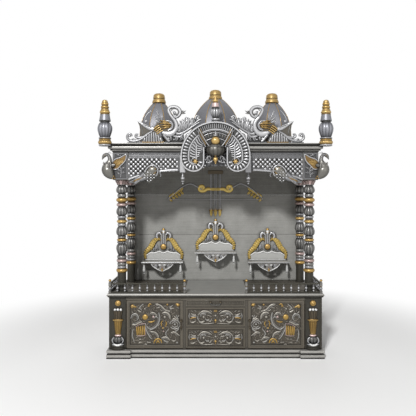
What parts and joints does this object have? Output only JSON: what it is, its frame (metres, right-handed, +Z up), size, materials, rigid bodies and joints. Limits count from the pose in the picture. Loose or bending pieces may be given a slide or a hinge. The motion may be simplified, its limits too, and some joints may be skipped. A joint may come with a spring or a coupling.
{
  "type": "home shrine cabinet",
  "caption": "Floor-standing carved home shrine: a cabinet with doors and drawers under an open canopy on turned columns, with domes, carved birds and hanging thrones.",
  "frame": {"origin": "middle of the underside, on the plinth's cross rail", "axes": "+Z up, +X to the right seen from the front, +Y towards the back, so the doors and drawers open towards -Y"},
  "size_m": [1.974, 0.7746, 2.3165],
  "materials": {
    "pewter": "dark antique silver paint, satin",
    "silver": "bright antique silver paint, glossy on high spots and dark in the grooves",
    "gold": "antique gold paint, satin",
    "copper": "pink copper paint, satin",
    "dome_grey": "blue-grey metallic paint, satin",
    "wall_grey": "grey metallic paint over wood grain, satin",
    "panel_grey": "pale grey satin paint",
    "bronze": "dark bronze, polished",
    "steel": "plain",
    "plywood": "unpainted"
  },
  "bodies": {
    "cabinet": {"plinth": "pewter", "cabinet_floor": "plywood", "side_panel_left": "pewter", "side_panel_right": "pewter", "cabinet_back": "plywood", "divider_left": "pewter", "divider_right": "pewter", "dust_board_upper": "plywood", "dust_board_lower": "plywood", "top_board": "pewter", "pilaster_left": "pewter", "pilaster_right": "pewter", "hinge_frame_leaf_left": "steel", "hinge_frame_leaf_right": "steel", "railing_left": "silver", "railing_right": "silver", "column_front_left": "silver", "column_front_right": "silver", "column_rear_left": "silver", "column_rear_right": "silver", "back_wall": "wall_grey", "bow_ornament": "gold", "throne_shelf_left": "panel_grey", "throne_shelf_center": "panel_grey", "throne_shelf_right": "panel_grey", "throne_back_left": "gold", "throne_back_center": "gold", "throne_back_right": "gold", "frieze_front": "pewter", "frieze_side_left": "pewter", "frieze_side_right": "pewter", "cornice": "pewter", "roof_board": "plywood", "dome_left": "dome_grey", "dome_right": "dome_grey", "dome_center": "dome_grey", "dome_cap_left": "gold", "dome_cap_right": "gold", "dome_cap_center": "gold", "corner_finial_left": "silver", "corner_finial_right": "silver", "crest_left": "silver", "crest_right": "silver", "medallion": "silver", "peacock": "silver", "pot_finial": "silver", "corner_peacock_left": "silver", "corner_peacock_right": "silver", "perched_bird_left": "silver", "perched_bird_right": "silver"},
    "door_left": {"door_left": "pewter", "hinge_door_leaf_left": "steel"},
    "door_right": {"door_right": "pewter", "hinge_door_leaf_right": "steel"},
    "pull_left": {"door_pull_left": "bronze"},
    "pull_right": {"door_pull_right": "bronze"},
    "tray": {"drawer_tray": "pewter"},
    "bail": {"tray_bail": "bronze"},
    "upper_drawer": {"drawer_upper": "pewter"},
    "lower_drawer": {"drawer_lower": "pewter"}
  },
  "joints": [
    {"name": "door_left_hinge", "type": "hinge", "parent": "cabinet", "child": "door_left", "pos_m": [-0.75325, -0.315, 0.28], "axis": [0, 0, -1], "range_deg": [0, 105]},
    {"name": "door_right_hinge", "type": "hinge", "parent": "cabinet", "child": "door_right", "pos_m": [0.75325, -0.315, 0.28], "axis": [0, 0, 1], "range_deg": [0, 105]},
    {"name": "pull_left_swing", "type": "hinge", "parent": "door_left", "child": "pull_left", "pos_m": [-0.29, -0.324, 0.312], "axis": [-1, 0, 0], "range_deg": [0, 70]},
    {"name": "pull_right_swing", "type": "hinge", "parent": "door_right", "child": "pull_right", "pos_m": [0.29, -0.324, 0.312], "axis": [-1, 0, 0], "range_deg": [0, 70]},
    {"name": "tray_slide", "type": "slide", "parent": "cabinet", "child": "tray", "axis": [0, -1, 0], "range_m": [0, 0.36]},
    {"name": "bail_swing", "type": "hinge", "parent": "tray", "child": "bail", "pos_m": [0, -0.326, 0.468], "axis": [-1, 0, 0], "range_deg": [0, 75]},
    {"name": "upper_drawer_slide", "type": "slide", "parent": "cabinet", "child": "upper_drawer", "axis": [0, -1, 0], "range_m": [0, 0.4]},
    {"name": "lower_drawer_slide", "type": "slide", "parent": "cabinet", "child": "lower_drawer", "axis": [0, -1, 0], "range_m": [0, 0.4]}
  ]
}
